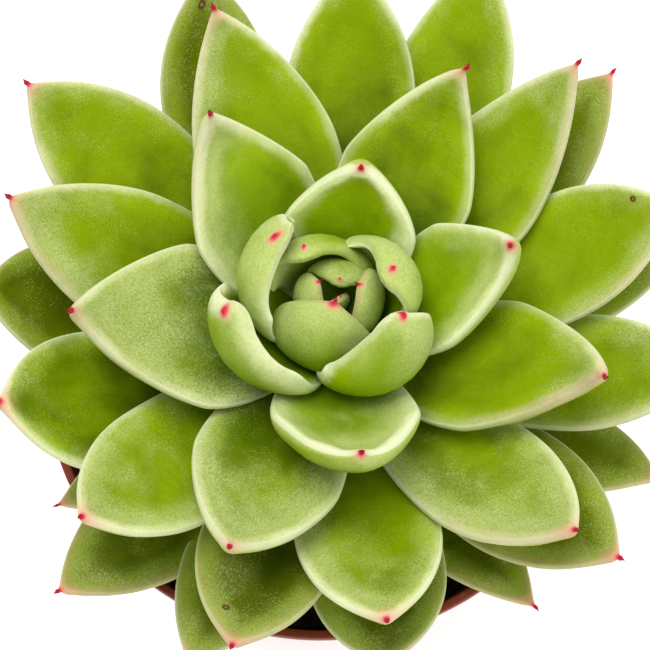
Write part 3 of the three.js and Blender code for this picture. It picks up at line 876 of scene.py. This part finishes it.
def leaf_margin(n, on, look, color):
    """Cream margins, wider and paler towards the tip, partly the leaf's own pale margin and partly a
    painted highlight on the rounded rim, with a thin painted highlight along the very edge.

    The margins of some leaves are brownish."""
    strength = look["strength"]
    # The cream rim is partly the leaf's pale margin and partly painted highlight on the rounded
    # edge; so is the cap near the tip.
    rim = n.ramp(n.plus(on.rim, n.times(on.wobble, 0.9)), 1, 0.1)
    rim = n.times(rim, n.ramp(on.tip, 55, 4, 0.3, strength))
    cap = n.times(n.ramp(on.tip, look["cap"], 1.5, 0, 0.8), n.ramp(on.face, -0.1, 0.2))
    rim = n.math("MAXIMUM", rim, cap)
    rim = n.times(rim, n.ramp(n.noise(on.skin, FADE_SCALE, 2), 0.36, 0.6, 0.5, 1.05))
    rim = n.times(rim, n.ramp(on.coarse, 0.3, 0.7, 0.85, 1.05))
    color = n.mix(rim, color, look["margin"])
    # Painted highlight: a thin bright line along the very edge of the margin.
    line = n.ramp(on.face, -0.6, 0, 0.1 * strength, 0.6 * strength)
    line = n.times(n.times(n.ramp(on.edge, 0.5, 0.1), line), n.ramp(on.rim, 0.6, 0.2))
    color = n.mix(line, color, EDGE_HIGHLIGHT)
    brown = n.times(on.rust, n.ramp(on.inset, 2.8, 0.4, 0, 0.75))
    return n.mix(brown, color, n.mix(n.ramp(on.wobble, -0.15, 0.15), RUST_DARK, RUST_LIGHT))


def leaf_tip(n, on, look, color):
    """The blush next to the tip, and the crimson end with its dark spine."""
    redness = look["redness"]
    blush = n.times(n.ramp(on.inset, 1.6, -0.2), n.ramp(on.tip, redness, 1, 0, 0.4))
    color = n.mix(blush, color, BLUSH)
    near = n.ramp(n.plus(on.spot, n.times(on.wobble, 0.6)), 2.4, 0.5, 0, 0.75)
    color = n.mix(near, color, HALO)
    wide = n.ramp(n.plus(on.spot, on.wobble), 0.7 * redness, 0.8, 0, 0.3)
    color = n.mix(wide, color, HALO)
    color = n.mix(n.ramp(on.spot, 1.5, 0.4), color, CRIMSON)
    color = n.mix(n.ramp(on.spot, 0, -1), color, MAROON)
    return n.mix(n.ramp(n.math("ABSOLUTE", on.spot), 0.3, 0.05, 0, 0.7), color, MAROON)


def leaf_scar(n, on, color):
    """A healed scar: a dark brown ring with a paler middle."""
    scar = n.plus(n.length(on.scar), n.times(n.plus(on.fine, -0.5), 0.8))
    color = n.mix(n.ramp(scar, 1.4, 0.7, 0, 0.95), color, SCAR_DARK)
    return n.mix(n.ramp(scar, 0.6, 0.1, 0, 0.7), color, SCAR_PALE)


def leaf_material(look):
    """Waxy leaf: green flesh under a pale bloom, cream margins with painted highlights, a pink and
    crimson tip.
    """
    n = Nodes(look["name"])
    on = leaf_texture(n)
    color, wax = leaf_bloom(n, on, look, leaf_flesh(n, on, look))
    color = leaf_margin(n, on, look, color)
    color = leaf_tip(n, on, look, color)
    color = leaf_scar(n, on, color)
    rough = n.plus(n.ramp(wax, 0, 1, 0.45, 0.62), n.times(n.plus(on.stipple, -0.5), 0.1))
    swells = n.bump(n.noise(on.skin, RELIEF_SCALE, 2, 0.4), 0.00025)
    pores = n.bump(on.coarse, 0.00008, 0.8, swells)
    powder = n.bump(on.fine, 0.00004, 0.7, pores)
    n.set(Base_Color=color, Roughness=rough, Normal=powder, Specular_IOR_Level=0.05,
          Subsurface_Weight=0.15, Subsurface_Radius=(0.9, 1.0, 0.1), Subsurface_Scale=0.002)
    return n.material


# ---- Other materials: their scales are per metre ----

PLASTIC_DARK = (0.2, 0.036, 0.016)
PLASTIC_LIGHT = (0.28, 0.053, 0.025)
LIME_SPLASH = (0.38, 0.15, 0.09)
DUST = (0.4, 0.24, 0.17)
SOIL_WET = (0.006, 0.004, 0.003)
SOIL_DRY = (0.045, 0.026, 0.015)
CHIP_DARK = (0.03, 0.015, 0.008)
CHIP_LIGHT = (0.12, 0.06, 0.03)
PERLITE_GREY = (0.45, 0.42, 0.36)
PERLITE_WHITE = (0.8, 0.78, 0.72)
STEM_GREEN = (0.12, 0.14, 0.035)
STEM_TAN = (0.33, 0.31, 0.14)
STEM_BROWN = (0.16, 0.09, 0.04)
FLOOR_PALE = (0.9, 0.9, 0.9)
FLOOR_WHITE = (0.93, 0.93, 0.93)


def pot_material():
    """Moulded red-brown plastic with faint turning rings, dried splashes and dust."""
    n = Nodes("PotPlastic")
    place = n.place()
    cloud = n.noise(place, 28, 4, 0.6)
    dust = n.noise(place, 420, 3, 0.7)
    color = n.mix(n.ramp(cloud, 0.3, 0.75), PLASTIC_DARK, PLASTIC_LIGHT)
    splash = n.times(n.ramp(n.noise(place, 95, 5, 0.7), 0.56, 0.74), 0.2)
    color = n.mix(splash, color, LIME_SPLASH)
    color = n.mix(n.times(n.ramp(dust, 0.55, 0.8), 0.15), color, DUST)
    rings = n.bump(n.noise(n.stretch(place, (1, 1, 60)), 9, 2), 0.0001, 0.5)
    n.set(Base_Color=color, Roughness=n.ramp(cloud, 0.3, 0.7, 0.45, 0.62),
          Normal=n.bump(dust, 0.00008, 0.6, rings), Specular_IOR_Level=0.2)
    return n.material


def soil_material():
    """Dark moist soil; its kinds of crumbs are soil, bark and perlite."""
    n = Nodes("Soil")
    place = n.place()
    kind = n.attribute("kind")
    clods = n.noise(place, 260, 5, 0.65)
    fibres = n.noise(n.stretch(place, (1, 3, 1)), 700, 3)
    color = n.mix(n.ramp(clods, 0.3, 0.75), SOIL_WET, SOIL_DRY)
    color = n.mix(n.ramp(kind, 0.3, 0.6, 0, 0.8), color, n.mix(fibres, CHIP_DARK, CHIP_LIGHT))
    color = n.mix(n.ramp(kind, 1.4, 1.6), color, n.mix(fibres, PERLITE_GREY, PERLITE_WHITE))
    rough = n.ramp(clods, 0.3, 0.7, 0.98, 0.8)
    grit = n.bump(n.noise(place, 1500, 3, 0.7), 0.0002, 0.8, n.bump(clods, 0.0012))
    n.set(Base_Color=color, Roughness=rough, Normal=grit, Specular_IOR_Level=0.3)
    return n.material


def stem_material():
    """Green stem that turns woody, with rings where old leaves were."""
    n = Nodes("Stem")
    place = n.place()
    bark = n.noise(n.stretch(place, (1, 1, 0.35)), 320, 5, 0.6)
    rings = n.noise(n.stretch(place, (0.3, 0.3, 2)), 400, 3)
    color = n.mix(n.ramp(bark, 0.3, 0.7), STEM_GREEN, STEM_TAN)
    color = n.mix(n.ramp(rings, 0.55, 0.75, 0, 0.6), color, STEM_BROWN)
    rough = n.ramp(bark, 0.3, 0.7, 0.6, 0.85)
    ringed = n.bump(rings, 0.0004, 0.7, n.bump(bark, 0.0006))
    n.set(Base_Color=color, Roughness=rough, Normal=ringed, Specular_IOR_Level=0.3)
    return n.material


def floor_material():
    """A pale, matt floor that glows a little, so that it stays near white."""
    n = Nodes("PaleFloor")
    grain = n.noise(n.place(), 60, 4)
    n.set(Base_Color=n.mix(grain, FLOOR_PALE, FLOOR_WHITE), Roughness=0.9,
          Normal=n.bump(grain, 0.0002, 0.2), Specular_IOR_Level=0.0,
          Emission_Color=(1, 1, 1, 1), Emission_Strength=FLOOR_GLOW)
    return n.material


# ---- Pot, soil and stem ----


def arc(centre, radius, start, end, steps=5):
    """Points of a small arc in a profile, with angles in degrees."""
    turns = np.radians(np.linspace(start, end, steps))
    return [(centre[0] + radius * math.cos(t), centre[1] + radius * math.sin(t)) for t in turns]


def lathe(name, profile, sides):
    """A closed profile of (radius, height) turned about the upright axis; its ends are on it."""
    rings = profile[1:-1]
    turns = 2 * np.pi * np.arange(sides) / sides
    points = [(r * math.cos(t), r * math.sin(t), z) for r, z in rings for t in turns]
    points += [(0, 0, profile[0][1]), (0, 0, profile[-1][1])]
    return mesh_object(name, points, tube_faces(len(rings), sides))


def pot_radius(height):
    """Outer radius of the pot's wall below the rim."""
    top = RIM_RADIUS - RIM_STEP
    return FOOT_RADIUS + (top - FOOT_RADIUS) * height / POT_HEIGHT


def with_between(profile, gap):
    """The profile with points added along its straight lines, no further apart than the gap."""
    full = [profile[0]]
    for (r0, z0), (r1, z1) in zip(profile, profile[1:]):
        steps = max(1, math.ceil(math.hypot(r1 - r0, z1 - z0) / gap))
        full += [(r0 + (r1 - r0) * i / steps, z0 + (z1 - z0) * i / steps)
                 for i in range(1, steps + 1)]
    return full


def pot_profile():
    """From the middle of the underside round the foot and the rim to the middle of the floor."""
    inner_top = pot_radius(POT_HEIGHT) - WALL
    rim_foot = POT_HEIGHT - RIM_DEPTH
    rim_outer = RIM_RADIUS - EDGE_ROUND
    round_top = POT_HEIGHT - EDGE_ROUND
    return [
        (0, 0),
        (CHANNEL_INNER, 0),
        (CHANNEL_INNER, CHANNEL_RISE),
        (CHANNEL_OUTER, CHANNEL_RISE),
        (CHANNEL_OUTER, 0),
        *arc((FOOT_RADIUS - EDGE_ROUND, EDGE_ROUND), EDGE_ROUND, -90, -WALL_SLOPE),
        (pot_radius(rim_foot), rim_foot),
        *arc((rim_outer, rim_foot + EDGE_ROUND), EDGE_ROUND, -90, 0),
        *arc((rim_outer, round_top), EDGE_ROUND, 0, 90),
        *arc((inner_top + EDGE_ROUND, round_top), EDGE_ROUND, 90, 180),
        (pot_radius(FLOOR_TOP) - WALL, FLOOR_TOP),
        (0, FLOOR_TOP),
    ]


def drain_cutter():
    """Upright rods that stand where the drainage holes are."""
    drill = bmesh.new()
    distance = (CHANNEL_INNER + CHANNEL_OUTER) / 2 * MM
    for i in range(DRAIN_COUNT):
        made = bmesh.ops.create_cone(
            drill, cap_ends=True, segments=DRAIN_SIDES, radius1=DRAIN_RADIUS * MM,
            radius2=DRAIN_RADIUS * MM, depth=4 * FLOOR_TOP * MM)
        turn = 2 * math.pi * i / DRAIN_COUNT
        at = Vector((distance * math.cos(turn), distance * math.sin(turn), 0))
        bmesh.ops.translate(drill, verts=made["verts"], vec=at)
    mesh = bpy.data.meshes.new("Drill")
    drill.to_mesh(mesh)
    drill.free()
    cutter = bpy.data.objects.new("Drill", mesh)
    bpy.context.scene.collection.objects.link(cutter)
    return cutter


def pot_object():
    """The pot with its drainage holes cut through the floor."""
    pot = lathe("Pot", with_between(pot_profile(), POT_RING_GAP), POT_SIDES)
    cutter = drain_cutter()
    cut = pot.modifiers.new("Drains", "BOOLEAN")
    cut.operation = "DIFFERENCE"
    cut.solver = "EXACT"
    cut.object = cutter
    graph = bpy.context.evaluated_depsgraph_get()
    mesh = bpy.data.meshes.new_from_object(pot.evaluated_get(graph))
    pot.modifiers.clear()
    pot.data = mesh
    bpy.data.objects.remove(cutter)

    # Smooth shading, apart from edges that turn more than an angle
    mesh.shade_smooth()
    mesh.set_sharp_from_angle(angle=math.radians(SHARP_ANGLE))
    return pot


def soil_relief(x, y):
    """The CAD surface's height over the soil's mean level."""
    crossed = np.sin(x / SWELL_X + 1) * np.cos(y / SWELL_Y)
    return SOIL_RELIEF * (crossed + np.sin((x + y) / SWELL_DIAGONAL)) / 2


def soil_object(random):
    """The block of soil that fills the pot, with the crumbs that lie on it."""
    inner = pot_radius(SOIL_TOP) - WALL - CLEARANCE
    bottom = FLOOR_TOP + CLEARANCE
    wall_top = SOIL_TOP - SOIL_RELIEF
    turns = 2 * np.pi * np.arange(SOIL_SIDES) / SOIL_SIDES
    rings = []
    for height in np.linspace(bottom, wall_top, SOIL_WALL_RINGS):
        radius = pot_radius(height) - WALL - CLEARANCE
        rings.append(np.stack([radius * np.cos(turns), radius * np.sin(turns),
                               np.full(SOIL_SIDES, height)], 1))
    for radius in np.linspace(inner - SOIL_EDGE_GAP, 1, SOIL_RINGS):
        x, y = radius * np.cos(turns), radius * np.sin(turns)
        lumps = random.normal(0, LUMP_HEIGHT, SOIL_SIDES)
        at_stem = np.exp(-(np.hypot(x - STEM_X, y) / STEM_DIP_RADIUS) ** 2)
        level = SOIL_TOP - SOIL_DROP + soil_relief(x, y) * RELIEF_SHARE
        rings.append(np.stack([x, y, level + lumps - STEM_DIP * at_stem], 1))
    points = np.concatenate(rings).tolist()
    points += [(0, 0, bottom), (0, 0, SOIL_TOP - STEM_DIP)]
    faces = tube_faces(len(rings), SOIL_SIDES)
    kinds = [CRUMB] * len(points)
    add_crumbs(random, inner, points, faces, kinds)
    return mesh_object("Soil", points, faces, {"kind": kinds})


def add_crumbs(random, inner, points, faces, kinds):
    """Adds loose crumbs, chips of bark and perlite to the soil's points, faces and kinds."""
    seed = bmesh.new()
    bmesh.ops.create_icosphere(seed, subdivisions=2, radius=1)
    ball = np.array([v.co for v in seed.verts])
    ball_faces = [[v.index for v in f.verts] for f in seed.faces]
    seed.free()
    for i in range(CRUMB_COUNT + PERLITE_COUNT):
        if i >= CRUMB_COUNT:
            kind = PERLITE
        else:
            kind = BARK if random.uniform() < BARK_PROPORTION else CRUMB
        size = random.uniform(*(PERLITE_SIZES if kind == PERLITE else CRUMB_SIZES))
        shape = size * np.array(
            [1, random.uniform(*CRUMB_BREADTHS), random.uniform(*CRUMB_HEIGHTS)])
        if kind == BARK:
            shape *= BARK_SHAPE
        distance = (inner - CRUMB_EDGE_GAP) * math.sqrt(random.uniform(CRUMB_BARE_MIDDLE, 1))
        turn = random.uniform(0, 2 * math.pi)
        x, y = distance * math.cos(turn), distance * math.sin(turn)
        rough = ball * (1 + random.normal(0, CRUMB_ROUGHNESS, (len(ball), 1))) * shape
        spin = random.uniform(0, math.pi)
        height = SOIL_TOP + soil_relief(x, y) * RELIEF_SHARE + CRUMB_RISE * shape[2]
        lump = np.stack([
            rough[:, 0] * math.cos(spin) - rough[:, 1] * math.sin(spin) + x,
            rough[:, 0] * math.sin(spin) + rough[:, 1] * math.cos(spin) + y,
            rough[:, 2] + height,
        ], 1)
        first = len(points)
        points += lump.tolist()
        faces += [tuple(first + j for j in face) for face in ball_faces]
        kinds += [kind] * len(lump)


def stem_object():
    """The stem, shrunk a little below its solid by the unevenness of its bark."""
    ends_and_rings = [(0, STEM_PROFILE[0][0])] + [(r, z) for z, r in STEM_PROFILE]
    stem = lathe("Stem", with_between(ends_and_rings, STEM_RING_GAP), STEM_SIDES)
    for vertex in stem.data.vertices:
        x, y, z = vertex.co / MM
        turn = math.atan2(y, x)
        lobes = math.sin(BARK_LOBES * turn + z * BARK_TWIST)
        bark = BARK_DEPTH * lobes * math.sin(z * SCAR_SPACING + SCAR_LOBES * turn)
        shrink = 1 - max(0, BARK_DEPTH + bark) / BARK_RADIUS
        vertex.co.x = (x * shrink + STEM_X) * MM
        vertex.co.y = y * shrink * MM
    return stem


# ---- Studio ----


def add_floor():
    corners = [(-1, -1), (1, -1), (1, 1), (-1, 1)]
    points = [(x * FLOOR_HALF, y * FLOOR_HALF, -FLOOR_DROP) for x, y in corners]
    floor = mesh_object("Floor", points, [(0, 1, 2, 3)])
    floor.data.materials.append(floor_material())


def add_sky():
    """An even white light from all round."""
    world = bpy.data.worlds.new("Studio")
    world.use_nodes = True
    sky = world.node_tree.nodes["Background"]
    sky.inputs["Color"].default_value = (1, 1, 1, 1)
    sky.inputs["Strength"].default_value = SKY_STRENGTH
    bpy.context.scene.world = world


def add_light(name, place, size, power):
    """A square area light that faces the plant: its place and size in millimetres, its watts."""
    data = bpy.data.lights.new(name, "AREA")
    data.shape = "SQUARE"
    data.size = size * MM
    data.energy = power
    light = bpy.data.objects.new(name, data)
    light.location = Vector(place) * MM
    light.rotation_mode = "QUATERNION"
    light.rotation_quaternion = (Vector(LIGHT_TARGET) - Vector(place)).to_track_quat("-Z", "Y")
    bpy.context.scene.collection.objects.link(light)


def add_camera():
    data = bpy.data.cameras.new("Camera")
    data.sensor_width = SENSOR
    data.lens = LENS
    data.clip_start = CLIP[0] * MM
    data.clip_end = CLIP[1] * MM
    camera = bpy.data.objects.new("Camera", data)
    tilt = math.radians(CAMERA_ELEVATION)
    back = Vector((0, -math.cos(tilt), math.sin(tilt)))
    camera.location = (Vector(CAMERA_TARGET) + back * CAMERA_DISTANCE) * MM
    camera.rotation_euler = (math.pi / 2 - tilt, 0, 0)
    bpy.context.scene.collection.objects.link(camera)
    bpy.context.scene.camera = camera


# ---- The scene ----

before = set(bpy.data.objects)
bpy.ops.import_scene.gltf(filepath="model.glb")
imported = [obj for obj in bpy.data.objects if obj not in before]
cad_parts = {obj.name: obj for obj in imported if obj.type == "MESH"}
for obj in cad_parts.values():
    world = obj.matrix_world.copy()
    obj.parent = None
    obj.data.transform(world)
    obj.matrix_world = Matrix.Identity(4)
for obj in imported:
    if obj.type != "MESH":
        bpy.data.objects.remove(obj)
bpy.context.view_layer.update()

ages = {"young": leaf_material(YOUNG), "mature": leaf_material(MATURE), "old": leaf_material(OLD)}
for number in range(len(LEAVES)):
    age = "young" if number < FIRST_MATURE else "mature" if number < FIRST_OLD else "old"
    dress(leaf_object(number), ages[age], f"leaf_{age}", f"leaf_{number:02d}")

dress(pot_object(), pot_material(), "pot_plastic", "pot")
dress(soil_object(np.random.default_rng(SEED)), soil_material(), "soil", "soil")
dress(stem_object(), stem_material(), "stem", "stem")

add_floor()
add_sky()
add_light("Key", (-200, 250, 1150), size=700, power=7.5)
add_light("Fill", (700, -500, 800), size=800, power=3)
add_camera()
bpy.context.scene.view_settings.view_transform = "Standard"

bpy.context.view_layer.update()
